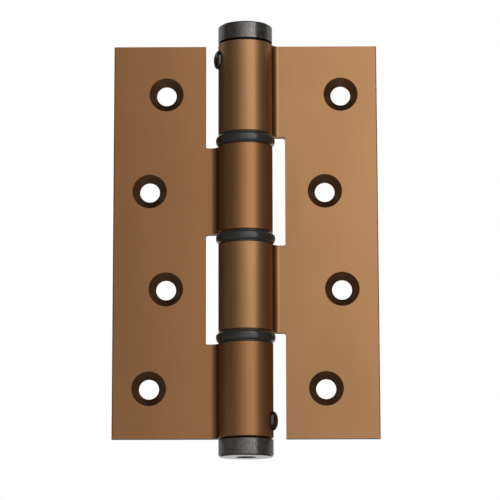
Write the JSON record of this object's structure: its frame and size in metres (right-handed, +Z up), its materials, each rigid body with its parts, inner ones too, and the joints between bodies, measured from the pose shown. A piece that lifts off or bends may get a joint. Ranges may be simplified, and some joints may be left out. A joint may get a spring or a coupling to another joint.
{
  "type": "spring hinge",
  "caption": "Self-closing spring hinge: flat leaves with staggered countersunk screw holes, an interleaved barrel with nylon thrust rings, and end plugs locked by side screws.",
  "frame": {"origin": "on the hinge axis, at half of the leaves' height", "axes": "+Z up along the hinge axis; -Y out of the countersunk faces of the leaves, which lie open flat; +X towards the door leaf, -X towards the frame leaf"},
  "size_m": [0.08, 0.0178, 0.1312],
  "materials": {
    "bronze_anodised_aluminium": "satin anodised",
    "dark_steel": "turned, blackened",
    "grey_nylon": "satin moulded",
    "black_oxide_steel": "black oxide, glossy",
    "spring_steel": "oiled",
    "zinc_plated_steel": "zinc plated"
  },
  "bodies": {
    "frame_side": {"frame_leaf": "bronze_anodised_aluminium", "bottom_end_plug": "dark_steel", "bottom_lock_screw": "black_oxide_steel", "bottom_end_washer": "zinc_plated_steel", "axle_tube": "zinc_plated_steel", "torsion_spring": "spring_steel", "spring_guide_rod": "zinc_plated_steel", "thrust_ring_1": "grey_nylon", "thrust_ring_3": "grey_nylon", "bearing_bush_2": "grey_nylon", "bearing_bush_3": "grey_nylon", "bearing_bush_6": "grey_nylon"},
    "door_side": {"door_leaf": "bronze_anodised_aluminium", "top_end_plug": "dark_steel", "top_lock_screw": "black_oxide_steel", "top_end_washer": "zinc_plated_steel", "thrust_ring_2": "grey_nylon", "bearing_bush_1": "grey_nylon", "bearing_bush_4": "grey_nylon", "bearing_bush_5": "grey_nylon"}
  },
  "joints": [
    {"name": "leaf_swing", "type": "hinge", "parent": "frame_side", "child": "door_side", "pos_m": [0, 0, 0], "axis": [0, 0, -1], "range_deg": [-16, 180], "stiffness_Nm_per_rad": 0.37, "springref_deg": 205.12, "deforming": ["torsion_spring"]}
  ]
}
